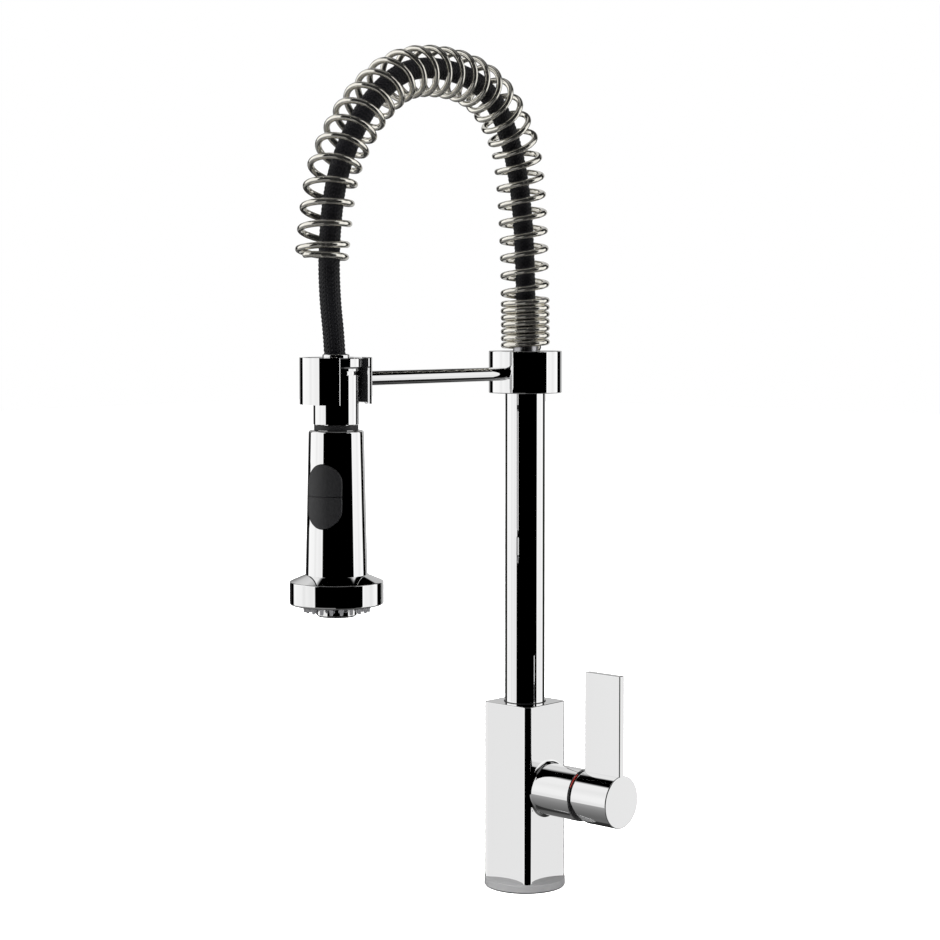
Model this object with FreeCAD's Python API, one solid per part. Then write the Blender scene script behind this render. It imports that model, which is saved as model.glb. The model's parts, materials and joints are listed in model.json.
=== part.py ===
import FreeCAD, Part

import math
import os

# Pull-down kitchen faucet: square body, side lever, sprung hose hoop and a docked spray head.
# Millimetres. The origin is on the deck at the centre of the base, +Z is up, the spout
# reaches toward -Y and the lever boss points toward +X.

# Base and body
GASKET_R = 26.5
GASKET_T = 1.0
BASE_R = 27.4
BASE_TOP = 5.9
BASE_EDGE = 0.8
STEM_R = 15.8              # body spigot that stands inside the base ring, down to the deck
BODY_SIDE = 40.4
BODY_CORNER = 4.3
BODY_TOP = 125.0
BODY_EDGE = 0.6
SHANK_R = 13.2             # minor radius of the M28 x 1.5 thread for the mounting shank
SHANK_TOP = 16.0
INLET_R = 4.46             # minor radius of the M10 x 1 supply threads
INLET_TOP = 28.0
INLET_Y = 6.5
SUPPLY_R = 3.2

# Lever boss and cartridge, along +X
BOSS_Z = 68.2
BOSS_R = 17.3
BOSS_END = 51.7
BOSS_ROOT_FILLET = 2.4
CAVITY_FLOOR_X = 20.0
CARTRIDGE_R = 12.5
CUP_FLOOR_X = 21.0
FIXED_DISC_X = 25.0
MOVING_DISC_X = 28.0
COUPLER_X = 31.0
COUPLER_END_X = 39.0
CARRIER_X = 39.2
CARRIER_END_X = 51.8
CUP_TOP_X = 46.0
FLANGE_X = 43.0
NUT_R = 14.3
NUT_END_X = 49.4
NUT_CLEARANCE = 0.6        # between the nut's bore and the turning carrier
NUT_SLOT_DEPTH = 2.0
NUT_SLOT_HALF = 1.2
RING_R = 15.6
RING_X = 50.0
RING_END_X = 52.4
RING_FLANGE_R = 16.9       # visible flange of the ring, in the gap between boss and lever
RING_BORE_R = 10.4
MARK_T = 0.8               # depth of the coloured marks in the flange's rim
MARK_FROM = 25.0           # the marks' ends, in degrees from straight up
MARK_TO = 62.0
DISC_CHAMBER_R = 11.3
FIXED_DISC_R = 11.25
MOVING_DISC_R = 7.0
CARRIER_R = 9.0
RUNNING_GAP = 0.05
PORT_R = 2.5
PORT_SPREAD = 5.5
PORT_DROP = 4.0
OUTLET_RISE = 6.0
PORT_SEAL_WALL = 1.2
POCKET_R = 4.0             # mixing pocket in the moving disc
POCKET_DEPTH = 1.5
COUPLER_SLOT_HALF_Z = 2.3
SLIDE_GAP = 0.1            # at each side of the lever's stem in its slots

# Lever
TILT_X = 48.0              # axis on which the lever lifts
TILT_MAX = 22.0
HUB_X = 53.9
HUB_END_X = 83.3
BLADE_T = 5.1
BLADE_TOP = 151.1
LEVER_EDGE = 0.7
STEM_HALF_Y = 3.5
STEM_HALF_Z = 4.0
STEM_END_X = 76.0
FINGER_HALF_Z = 1.6
FINGER_REACH = 11.5
PIN_R = 1.5
SLOT_HALF_Z = 6.5
SCREW_R = 2.5              # M5 set screws of the lever and the collar
SCREW_KEY_R = 1.3
LEVER_SCREW_X = 67.0
LEVER_SCREW_SUNK = 4.5

# Column
COLUMN_R = 13.5
COLUMN_BORE_R = 11.8
COLUMN_BOTTOM = 114.0
BUSH_R = 14.1
BUSH_BOTTOM = 118.0
BUSH_PROUD = 0.3
SOCKET_FLOOR = 94.0
SPIGOT_BOTTOM = 96.0
SPIGOT_TOP = 130.0
SPIGOT_R = 13.3
SPIGOT_GROOVE_R = 11.3
SPIGOT_BORE_R = 8.0
RETAIN_Z = 105.0
SPIGOT_RING_Z = (99.5, 110.5)
SPIGOT_RING_HALF = 1.2     # half the width of each o-ring groove
RETAIN_GROOVE_HALF = 2.2
RETAIN_SCREW_R = 2.0
RETAIN_TIP_R = 1.6
RETAIN_SUNK = 0.6
RETAIN_KEY_R = 1.0

# Collar and dock
COLLAR_R = 24.4
COLLAR_BOTTOM = 333.0
COLLAR_TOP = 361.0
COLLAR_SHELF = 344.4
COLLAR_SCREW_Z = 339.0
HOSE_SEAT = 346.5
COLLAR_PASSAGE_R = 6.0
FITTING_R = 10.2
FITTING_BORE_R = 5.0
INLET_FERRULE_WALL = 1.2
INLET_FERRULE_H = 16.0
ARM_R = 4.45
ARM_Z = 346.0
ARM_ROOT_Y = 15.0
REACH = 176.5
HOLDER_R = 22.3
HOLDER_BORE_R = 19.2
HOLDER_BOTTOM = 330.9
HOLDER_TOP = 359.3
HOLDER_SLOT_ANGLE = 7.0    # way the opening faces, in degrees about the head axis from +X
HOLDER_SLOT_HALF = 14.6    # half the width of the opening, whose sides are parallel
HOLDER_EDGE = 1.0
LINER_BORE_R = 16.3

# Hose and hoop spring: corners of their routes, as distance from the column and height
HOSE_R = 7.0
HOSE_START = 352.0
HOSE_END = 346.0           # seat of the hose in the neck
SPRING_R = 16.45
SPRING_SKIN = 1.0          # wall with the same steel as a 4 mm wire wound 38 times
HOSE_ROUTE = [
    (0, HOSE_START), (0, 479), (26.5, 520), (59, 536), (111, 536), (143, 516.5),
    (166, 488), (178, 461), (182.5, 424), (181.5, 394), (REACH, 370), (REACH, HOSE_END + 0.3),
]
SPRING_ROUTE = [
    (0, COLLAR_TOP), (0, 478), (25, 521.5), (58, 539.5), (113, 539.5), (146, 519),
    (170, 489.5), (183, 463), (188.3, 423),
]
ARC_SHARE = 0.45

# Spray neck
NECK_R = 14.0
NECK_FLANGE_R = 16.0
NECK_FLANGE_T = 5.5
NECK_TOP = 359.2
NECK_SHOULDER = 318.1
NECK_SPIGOT_R = 12.0
NECK_THREAD_R = 10.5
NECK_BOTTOM = 296.5
NECK_BORE_R = 8.0
NECK_RING_Z = 309.5
NECK_RING_FLOOR_R = 10.8   # floor of the o-ring's groove
NECK_RING_HALF = 1.2
NECK_GROOVE_DROP = 2.6     # groove round the neck, below its flange
NECK_GROOVE_H = 2.4
NECK_GROOVE_DEPTH = 1.4
NECK_CONE = 1.0            # short cone under the flange
VALVE_LOW = 318.0          # check valve inside the neck
VALVE_TOP = 334.0
VALVE_BORE_R = 5.0
VALVE_STEM_R = 2.5
HOSE_SEAL_BORE_R = 5.0
WASHER_R = 13.5
FERRULE_R = 8.3
FERRULE_BORE_R = 7.3
FERRULE_DOME = 0.95        # rounding of the ferrule's visible collar
FERRULE_TOP = 361.4

# Spray head
HEAD_TOP = 315.0
HEAD_BOTTOM = 227.1
HEAD_TOP_R = 16.9
HEAD_BOTTOM_R = 19.0
HEAD_EDGE = 1.4
HEAD_SHELF = 303.3
NUT_TOP = 303.0
DISC_R = 28.8
DISC_TOP = 222.6
DISC_BOTTOM = 208.4
DISC_EDGE = 1.4
DISC_NECK_R = 16.6         # spigot of the disc inside the head's shell
DISC_NECK_TOP = 234.0
DISC_BORE_R = 15.0
DISC_RIM = 2.0
DISC_WALL = 3.6
AERATOR_R = 12.7
AERATOR_BOTTOM = 201.1
AERATOR_BORE_R = 10.8
NOZZLE_R = 1.35
NOZZLE_TIP_R = 0.95
NOZZLE_BOTTOM = 203.9
NOZZLE_BORE_R = 0.4
NOZZLE_ROWS = ((19.6, 20, 0.0), (15.9, 16, 0.5))    # radius, count, offset in steps
MAT_R = 23.0
MAT_BORE_R = 13.4
MAT_T = 1.2
AERATOR_TOP = 216.0
AERATOR_BEVEL = 1.2
INSERT_BOTTOM = 203.5
INSERT_TOP = 214.0
INSERT_HOLE_R = 0.75
INSERT_ROWS = ((3.0, 6), (6.0, 12), (8.8, 18))      # radius, count
FACE_BOTTOM = 209.2
FACE_T = 3.0

# Function rocker on the head
ROCKER_ANGLE = 18.0        # degrees from -Y toward +X
ROCKER_Z = 275.5
ROCKER_W = 22.5
ROCKER_H = 38.8
ROCKER_PROUD = 0.9
ROCKER_GAP = 0.45
ROCKER_BACK = 13.6         # distance of its flat back from the head axis
CREASE_DEPTH = 0.7         # crease across the middle of the rocker
CREASE_HALF = 0.3
ROCKER_PIN_D = 12.0
ROCKER_PIN_R = 1.2
ROCKER_PIN_HALF = 12.0
ROCKER_ARM_REACH = 4.2     # the arm's tip, inside the spool's groove
ROCKER_ARM_HALF = 1.5
ROCKER_ARM_HALF_Z = 1.4
ROCKER_LUG_START = 9.8
ROCKER_LUG_HALF = 3.0
ROCKER_LUG_HALF_Z = 2.6
PIN_CHANNEL_HALF_Z = 2.2   # channel in the rocker's back, over the pin's ends
PIN_CHANNEL_DEPTH = 0.4
HEAD_SPACE = 40.0          # farther out than any part of the head
DIVERTER_R = 9.2
DIVERTER_BOTTOM = 240.0
DIVERTER_TOP = 287.0
DIVERTER_FLANGE_R = 16.0
DIVERTER_FLANGE_T = 4.0
DIVERTER_HOLE_R = 1.8
DIVERTER_HOLE_RING_R = 12.6
DIVERTER_WINDOW_HALF = 2.2
DIVERTER_WINDOW_HALF_Z = 3.0
SPOOL_BOTTOM = 256.0
SPOOL_TOP = 285.0
SPOOL_R = 6.0
SPOOL_GROOVE_R = 3.8
SPOOL_GROOVE_HALF = 1.75
SPOOL_BORE_R = 2.5
SPOOL_BORE_TOP = 268.0

X = FreeCAD.Vector(1, 0, 0)
Y = FreeCAD.Vector(0, 1, 0)
Z = FreeCAD.Vector(0, 0, 1)


def vec(x, y, z):
    return FreeCAD.Vector(x, y, z)


def rod(radius, start, end):
    """A solid cylinder from one point to another."""
    along = end - start
    return Part.makeCylinder(radius, along.Length, start, along)


def pipe(outer, inner, start, end):
    return rod(outer, start, end).cut(rod(inner, start, end))


def upright(radius, low, high, x=0.0, y=0.0):
    return rod(radius, vec(x, y, low), vec(x, y, high))


def ring_up(outer, inner, low, high, x=0.0, y=0.0):
    return pipe(outer, inner, vec(x, y, low), vec(x, y, high))


def along_x(radius, low, high, y=0.0, z=BOSS_Z):
    return rod(radius, vec(low, y, z), vec(high, y, z))


def block(low, high):
    size = high - low
    return Part.makeBox(size.x, size.y, size.z, low)


def turned(points, y=0.0):
    """Revolve a closed outline of (radius, height) points about the vertical line at this y."""
    wire = Part.makePolygon([vec(r, 0, h) for r, h in points] + [vec(points[0][0], 0, points[0][1])])
    solid = Part.Face(wire).revolve(vec(0, 0, 0), Z, 360)
    solid.translate(vec(0, y, 0))
    return solid


def washer(major, minor, centre, axis):
    return Part.makeTorus(major, minor, centre, axis)


def round_edges(solid, radius, wanted):
    """Fillet the edges that the test picks out."""
    edges = [edge for edge in solid.Edges if wanted(edge)]
    return solid.makeFillet(radius, edges) if edges else solid


def circle_at(radius, height):
    """A test for the full circular edges of this radius at this height."""
    def test(edge):
        return (
            isinstance(edge.Curve, Part.Circle)
            and abs(edge.Curve.Radius - radius) < 0.01
            and abs(edge.Curve.Center.z - height) < 0.01
        )
    return test


def is_upright(edge):
    box = edge.BoundBox
    return box.XLength < 0.01 and box.YLength < 0.01


def routed(corners, name):
    """Straight runs through the corners, joined by tangent arcs, in the plane of the hoop."""
    points = [vec(0, -reach, height) for reach, height in corners]
    edges = []
    radii = []
    last = points[0]
    for before, corner, after in zip(points, points[1:], points[2:]):
        back = (before - corner)
        ahead = (after - corner)
        trim = ARC_SHARE * min(back.Length, ahead.Length)
        turn = math.pi - back.getAngle(ahead)
        radii.append(trim / math.tan(turn / 2))
        back.normalize()
        ahead.normalize()
        enter = corner + back * trim
        leave = corner + ahead * trim
        inward = back + ahead
        inward.normalize()
        sag = radii[-1] / math.cos(turn / 2) - radii[-1]
        edges.append(Part.LineSegment(last, enter).toShape())
        edges.append(Part.Arc(enter, corner + inward * sag, leave).toShape())
        last = leave
    edges.append(Part.LineSegment(last, points[-1]).toShape())
    wire = Part.Wire(edges)
    print(name, "length", round(wire.Length, 1), "bend radii", [round(r) for r in radii])
    return wire


def swept(wire, radius):
    profile = Part.Wire(Part.makeCircle(radius, wire.Edges[0].Vertexes[0].Point, Z))
    return wire.makePipeShell([profile], True, False)


def stadium(width, height, depth):
    """A tall oval slab, centred on the head axis and running outward along the rocker's way."""
    half = width / 2
    straight = height - width
    slab = block(vec(-half, 0, ROCKER_Z - straight / 2), vec(half, depth, ROCKER_Z + straight / 2))
    for side in (-1, 1):
        middle = ROCKER_Z + side * straight / 2
        slab = slab.fuse(rod(half, vec(0, 0, middle), vec(0, depth, middle)))
    return slab.removeSplitter()


def on_head(solid):
    """Move a shape made about the Z axis, facing +Y, onto the head, facing the rocker's way."""
    solid = solid.copy()
    solid.rotate(vec(0, 0, 0), Z, 180.0 + ROCKER_ANGLE)
    solid.translate(vec(0, -REACH, 0))
    return solid


def head_up(radius, low, high):
    return upright(radius, low, high, 0, -REACH)


def head_ring(outer, inner, low, high):
    return ring_up(outer, inner, low, high, 0, -REACH)


def head_cone(low_r, high_r, low, high):
    return Part.makeCone(low_r, high_r, high - low, vec(0, -REACH, low), Z)


# Base and body

def base_gasket():
    return ring_up(GASKET_R, STEM_R + 0.2, 0, GASKET_T)


def base_ring():
    ring = ring_up(BASE_R, STEM_R + 0.1, GASKET_T, BASE_TOP)
    return round_edges(ring, BASE_EDGE, circle_at(BASE_R, BASE_TOP))


def valve_body():
    half = BODY_SIDE / 2
    body = block(vec(-half, -half, BASE_TOP), vec(half, half, BODY_TOP))
    body = round_edges(body, BODY_CORNER, is_upright)
    body = body.fuse(along_x(BOSS_R, 0, BOSS_END))
    body = round_edges(body, BODY_EDGE, lambda edge: edge.BoundBox.ZMin > BODY_TOP - 0.01)
    body = body.makeFillet(BOSS_ROOT_FILLET, [edge for edge in body.Edges if at_boss_root(edge)])
    body = round_edges(body, BODY_EDGE, lambda edge: edge.BoundBox.XMin > BOSS_END - 0.01)
    body = body.fuse(upright(STEM_R, 0, BASE_TOP))
    for cut in column_socket() + cartridge_bore() + waterways():
        body = body.cut(cut)
    return body


def at_boss_root(edge):
    """The edges where the boss grows out of the body's side and rounded corners."""
    box = edge.BoundBox
    near = box.ZMax < BOSS_Z + BOSS_R + 0.1 and box.ZMin > BOSS_Z - BOSS_R - 0.1
    return near and box.XMin > BODY_SIDE / 4 and box.XMax < BODY_SIDE / 2 + 0.1


def column_socket():
    screw = rod(RETAIN_SCREW_R, vec(0, COLUMN_R - 2, RETAIN_Z), vec(0, BODY_SIDE, RETAIN_Z))
    return [
        upright(BUSH_R, BUSH_BOTTOM, BODY_TOP + 1),
        upright(COLUMN_R + RUNNING_GAP, SOCKET_FLOOR, BUSH_BOTTOM),
        screw,
    ]


def cartridge_bore():
    return [
        along_x(CARTRIDGE_R + 0.1, CAVITY_FLOOR_X, FLANGE_X),
        along_x(NUT_R, FLANGE_X, RING_X),
        along_x(RING_R, RING_X, BOSS_END + 1),
    ]


def waterways():
    cuts = [upright(SHANK_R, -1, SHANK_TOP)]
    port_z = BOSS_Z - PORT_DROP
    for side in (-1, 1):
        cuts.append(upright(INLET_R, SHANK_TOP, INLET_TOP, 0, side * INLET_Y))
        cuts.append(upright(SUPPLY_R, INLET_TOP, port_z, 0, side * INLET_Y))
        cuts.append(along_x(PORT_R, 0, CAVITY_FLOOR_X, side * PORT_SPREAD, port_z))
    cuts.append(along_x(PORT_R, 0, CAVITY_FLOOR_X, 0, BOSS_Z + OUTLET_RISE))
    cuts.append(upright(PORT_R, BOSS_Z + OUTLET_RISE, SOCKET_FLOOR))
    return cuts


def swivel_bushing():
    return ring_up(BUSH_R, COLUMN_R + RUNNING_GAP, BUSH_BOTTOM, BODY_TOP + BUSH_PROUD)


def column_retaining_screw():
    shoulder = vec(0, COLUMN_R + 1, RETAIN_Z)
    mouth = vec(0, BODY_SIDE / 2 - RETAIN_SUNK, RETAIN_Z)
    tip = rod(RETAIN_TIP_R, vec(0, SPIGOT_GROOVE_R + 0.5, RETAIN_Z), shoulder)
    return hexed(tip.fuse(rod(RETAIN_SCREW_R, shoulder, mouth)), mouth, vec(0, -1, 0), RETAIN_KEY_R)


def hexed(solid, mouth, inward, radius, depth=2.5):
    """Cut a hexagon socket for a key into the end of a screw."""
    side = inward.cross(X) if abs(inward.x) < 0.5 else inward.cross(Y)
    corners = []
    for step in range(7):
        spin = FreeCAD.Rotation(inward, 60 * step)
        corners.append(mouth + spin.multVec(side * radius))
    prism = Part.Face(Part.makePolygon(corners)).extrude(inward * depth)
    return solid.cut(prism)


# Cartridge

def port_places(x):
    return [
        vec(x, -PORT_SPREAD, BOSS_Z - PORT_DROP),
        vec(x, PORT_SPREAD, BOSS_Z - PORT_DROP),
        vec(x, 0, BOSS_Z + OUTLET_RISE),
    ]


def cartridge_seals():
    """Three rubber port seals between the body and the cartridge cup."""
    seals = [pipe(PORT_R + PORT_SEAL_WALL, PORT_R, at, at + X) for at in port_places(CAVITY_FLOOR_X)]
    return Part.makeCompound(seals)


def cartridge_body():
    cup = along_x(CARTRIDGE_R, CUP_FLOOR_X, CUP_TOP_X)
    cup = cup.fuse(along_x(NUT_R - 0.1, FLANGE_X, CUP_TOP_X))
    cup = cup.cut(along_x(DISC_CHAMBER_R, FIXED_DISC_X, COUPLER_END_X))
    cup = cup.cut(along_x(CARRIER_R + RUNNING_GAP, COUPLER_END_X, CUP_TOP_X))
    for at in port_places(CUP_FLOOR_X):
        cup = cup.cut(rod(PORT_R, at, vec(FIXED_DISC_X, at.y, at.z)))
    return cup


def fixed_ceramic_disc():
    disc = along_x(FIXED_DISC_R, FIXED_DISC_X, MOVING_DISC_X)
    for at in port_places(FIXED_DISC_X):
        disc = disc.cut(rod(PORT_R, at, vec(MOVING_DISC_X, at.y, at.z)))
    return disc


def moving_ceramic_disc():
    """The disc that slides and turns over the ports, with its mixing pocket."""
    disc = along_x(MOVING_DISC_R, MOVING_DISC_X, COUPLER_X)
    return disc.cut(along_x(POCKET_R, MOVING_DISC_X, MOVING_DISC_X + POCKET_DEPTH))


def disc_coupler():
    coupler = along_x(MOVING_DISC_R, COUPLER_X, COUPLER_END_X)
    pocket_x = TILT_X - FINGER_REACH - 0.5
    half_y = STEM_HALF_Y + SLIDE_GAP
    return coupler.cut(block(vec(pocket_x, -half_y, BOSS_Z - COUPLER_SLOT_HALF_Z),
                             vec(COUPLER_END_X + 1, half_y, BOSS_Z + COUPLER_SLOT_HALF_Z)))


def cartridge_carrier():
    """The turning barrel that holds the tilt pin; the lever's stem rocks in its slot."""
    barrel = along_x(CARRIER_R, CARRIER_X, CARRIER_END_X)
    half_y = STEM_HALF_Y + SLIDE_GAP
    slot = block(vec(CARRIER_X - 1, -half_y, BOSS_Z - SLOT_HALF_Z),
                 vec(CARRIER_END_X + 1, half_y, BOSS_Z + SLOT_HALF_Z))
    pin_hole = rod(PIN_R, vec(TILT_X, -CARRIER_R, BOSS_Z), vec(TILT_X, CARRIER_R, BOSS_Z))
    return barrel.cut(slot).cut(pin_hole)


def tilt_pin():
    half = CARRIER_R - 0.6
    return rod(PIN_R, vec(TILT_X, -half, BOSS_Z), vec(TILT_X, half, BOSS_Z))


def cartridge_nut():
    nut = pipe(NUT_R, CARRIER_R + NUT_CLEARANCE, vec(CUP_TOP_X, 0, BOSS_Z), vec(NUT_END_X, 0, BOSS_Z))
    slots = block(vec(NUT_END_X - NUT_SLOT_DEPTH, -NUT_R, BOSS_Z - NUT_SLOT_HALF),
                  vec(NUT_END_X, NUT_R, BOSS_Z + NUT_SLOT_HALF))
    return nut.cut(slots)


def indicator_ring():
    """A ring in the boss's mouth with a flange that fills the gap to the lever, less its marks."""
    inner = vec(RING_X, 0, BOSS_Z)
    rim = vec(BOSS_END, 0, BOSS_Z)
    outer = vec(RING_END_X, 0, BOSS_Z)
    ring = pipe(RING_R, RING_BORE_R, inner, rim).fuse(pipe(RING_FLANGE_R, RING_BORE_R, rim, outer))
    for side in (-1, 1):
        ring = ring.cut(mark_on_ring(side))
    return ring


def mark_on_ring(side):
    """A coloured segment of the ring's rim, near its top, toward the front or the back."""
    start = vec(BOSS_END, 0, BOSS_Z)
    rim = pipe(RING_FLANGE_R, RING_FLANGE_R - MARK_T, start, vec(RING_END_X, 0, BOSS_Z))
    return rim.common(mark_sector(side, MARK_FROM, MARK_TO))


def mark_sector(side, from_top, to_top):
    """A wedge about the boss axis, between two angles from straight up, on one side in Y."""
    far = 2 * BOSS_R
    start = BOSS_END - 1
    corners = [vec(start, 0, BOSS_Z)]
    for angle in (from_top, to_top):
        lean = math.radians(angle)
        corners.append(vec(start, side * far * math.sin(lean), BOSS_Z + far * math.cos(lean)))
    corners.append(corners[0])
    return Part.Face(Part.makePolygon(corners)).extrude(X * (HUB_X - start))


# Lever

def lever_handle():
    hub = along_x(BOSS_R, HUB_X, HUB_END_X)
    blade = block(vec(HUB_X, -BLADE_T / 2, BOSS_Z), vec(HUB_END_X, BLADE_T / 2, BLADE_TOP))
    lever = hub.fuse(blade).removeSplitter()
    lever = round_edges(lever, LEVER_EDGE, is_lever_rim)
    lever = lever.cut(lever_relief())
    lever = lever.cut(along_x(CARRIER_R + 3, HUB_X - 1, HUB_X + 3))
    lever = lever.cut(block(vec(HUB_X, -STEM_HALF_Y, BOSS_Z - STEM_HALF_Z),
                            vec(STEM_END_X, STEM_HALF_Y, BOSS_Z + STEM_HALF_Z)))
    screw_low = vec(LEVER_SCREW_X, 0, BOSS_Z - BOSS_R - 1)
    return lever.cut(rod(SCREW_R, screw_low, vec(LEVER_SCREW_X, 0, BOSS_Z - STEM_HALF_Z)))


def is_lever_rim(edge):
    """The outer rim of the lever: its cap, its blade's edges and its top."""
    box = edge.BoundBox
    on_cap = box.XMin > HUB_END_X - 0.01
    on_rear = box.XMax < HUB_X + 0.01
    on_top = box.ZMin > BLADE_TOP - 0.01
    return on_cap or on_rear or on_top


def lever_relief():
    """The slope cut from the hub's lower rear, so that it clears the boss when lifted."""
    drop = BOSS_R + 2
    depth = drop * math.tan(math.radians(TILT_MAX))
    side = -2 * BOSS_R
    corners = [(HUB_X - 1, 0), (HUB_X, 0), (HUB_X + depth, -drop), (HUB_X - 1, -drop), (HUB_X - 1, 0)]
    outline = Part.makePolygon([vec(x, side, BOSS_Z + rise) for x, rise in corners])
    return Part.Face(outline).extrude(Y * -2 * side)


def lever_stem():
    shank = block(vec(TILT_X, -STEM_HALF_Y, BOSS_Z - STEM_HALF_Z),
                  vec(STEM_END_X, STEM_HALF_Y, BOSS_Z + STEM_HALF_Z))
    eye = rod(STEM_HALF_Z, vec(TILT_X, -STEM_HALF_Y, BOSS_Z), vec(TILT_X, STEM_HALF_Y, BOSS_Z))
    finger = block(vec(TILT_X - FINGER_REACH, -STEM_HALF_Y, BOSS_Z - FINGER_HALF_Z),
                   vec(TILT_X, STEM_HALF_Y, BOSS_Z + FINGER_HALF_Z))
    hole = rod(PIN_R + RUNNING_GAP, vec(TILT_X, -10, BOSS_Z), vec(TILT_X, 10, BOSS_Z))
    return shank.fuse([eye, finger]).cut(hole).removeSplitter()


def lever_set_screw():
    low = BOSS_Z - BOSS_R + LEVER_SCREW_SUNK
    screw = rod(SCREW_R, vec(LEVER_SCREW_X, 0, low), vec(LEVER_SCREW_X, 0, BOSS_Z - STEM_HALF_Z))
    return hexed(screw, vec(LEVER_SCREW_X, 0, low), Z, SCREW_KEY_R)


# Column and collar

def column_spigot():
    spigot = upright(SPIGOT_R, SPIGOT_BOTTOM, COLUMN_BOTTOM)
    spigot = spigot.fuse(upright(COLUMN_BORE_R, COLUMN_BOTTOM, SPIGOT_TOP))
    spigot = spigot.cut(upright(SPIGOT_BORE_R, SPIGOT_BOTTOM, SPIGOT_TOP))
    grooves = [(height, SPIGOT_RING_HALF) for height in SPIGOT_RING_Z]
    for height, half in grooves + [(RETAIN_Z, RETAIN_GROOVE_HALF)]:
        spigot = spigot.cut(ring_up(SPIGOT_R + 1, SPIGOT_GROOVE_R, height - half, height + half))
    return spigot


def spigot_orings():
    section = (COLUMN_R - SPIGOT_GROOVE_R) / 2
    rings = [washer(SPIGOT_GROOVE_R + section, section, vec(0, 0, z), Z) for z in SPIGOT_RING_Z]
    return Part.makeCompound(rings)


def column_tube():
    return ring_up(COLUMN_R, COLUMN_BORE_R, COLUMN_BOTTOM, COLLAR_SHELF)


def column_collar():
    collar = upright(COLLAR_R, COLLAR_BOTTOM, COLLAR_TOP)
    collar = round_edges(collar, BODY_EDGE, circle_at(COLLAR_R, COLLAR_TOP))
    collar = round_edges(collar, BODY_EDGE, circle_at(COLLAR_R, COLLAR_BOTTOM))
    collar = collar.cut(upright(COLUMN_R, COLLAR_BOTTOM, COLLAR_SHELF))
    collar = collar.cut(upright(COLLAR_PASSAGE_R, COLLAR_SHELF, HOSE_SEAT))
    collar = collar.cut(upright(FITTING_R, HOSE_SEAT, COLLAR_TOP))
    collar = collar.cut(rod(ARM_R, vec(0, -ARM_ROOT_Y, ARM_Z), vec(0, -COLLAR_R - 1, ARM_Z)))
    screw_start = vec(0, COLUMN_R - 1, COLLAR_SCREW_Z)
    return collar.cut(rod(SCREW_R, screw_start, vec(0, COLLAR_R + 1, COLLAR_SCREW_Z)))


def collar_set_screw():
    mouth = vec(0, COLLAR_R - 1.0, COLLAR_SCREW_Z)
    screw = rod(SCREW_R, vec(0, COLUMN_R, COLLAR_SCREW_Z), mouth)
    return hexed(screw, mouth, vec(0, -1, 0), SCREW_KEY_R)


def hose_inlet_fitting():
    return ring_up(FITTING_R, FITTING_BORE_R, HOSE_SEAT, HOSE_START)


def hose_inlet_ferrule():
    outer = HOSE_R + INLET_FERRULE_WALL
    return ring_up(outer, HOSE_R, HOSE_START, HOSE_START + INLET_FERRULE_H)


def hose():
    wire = routed(HOSE_ROUTE, "hose")
    tube = swept(wire, HOSE_R)
    print("hose volume ratio", tube.Volume / (math.pi * HOSE_R ** 2 * wire.Length))
    return tube


def hoop_spring():
    """The envelope of the coil that holds the hose in its hoop."""
    wire = routed(SPRING_ROUTE, "spring")
    skin = swept(wire, SPRING_R).cut(swept(wire, SPRING_R - SPRING_SKIN))
    section = math.pi * (SPRING_R ** 2 - (SPRING_R - SPRING_SKIN) ** 2)
    print("spring volume ratio", skin.Volume / (section * wire.Length))
    return skin


# Dock

def dock_arm():
    return rod(ARM_R, vec(0, -ARM_ROOT_Y, ARM_Z), vec(0, -REACH + HOLDER_BORE_R, ARM_Z))


def holder_slot(low, high):
    """The space that the holder leaves open for the hose, a slot with parallel sides."""
    slot = block(vec(0, -HOLDER_SLOT_HALF, low), vec(HOLDER_R + 5, HOLDER_SLOT_HALF, high))
    slot.rotate(vec(0, 0, 0), Z, HOLDER_SLOT_ANGLE)
    slot.translate(vec(0, -REACH, 0))
    return slot


def dock_holder():
    clip = head_ring(HOLDER_R, HOLDER_BORE_R, HOLDER_BOTTOM, HOLDER_TOP)
    clip = clip.cut(holder_slot(HOLDER_BOTTOM - 1, HOLDER_TOP + 1))
    clip = round_edges(clip, HOLDER_EDGE, is_upright)
    root = rod(ARM_R, vec(0, -REACH + LINER_BORE_R, ARM_Z), vec(0, -REACH + HOLDER_R + 5, ARM_Z))
    return clip.cut(root)


def dock_liner():
    liner = head_ring(HOLDER_BORE_R, LINER_BORE_R, HOLDER_BOTTOM + 1, HOLDER_TOP - 0.6)
    return liner.cut(holder_slot(HOLDER_BOTTOM, HOLDER_TOP))


# Spray neck

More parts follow.
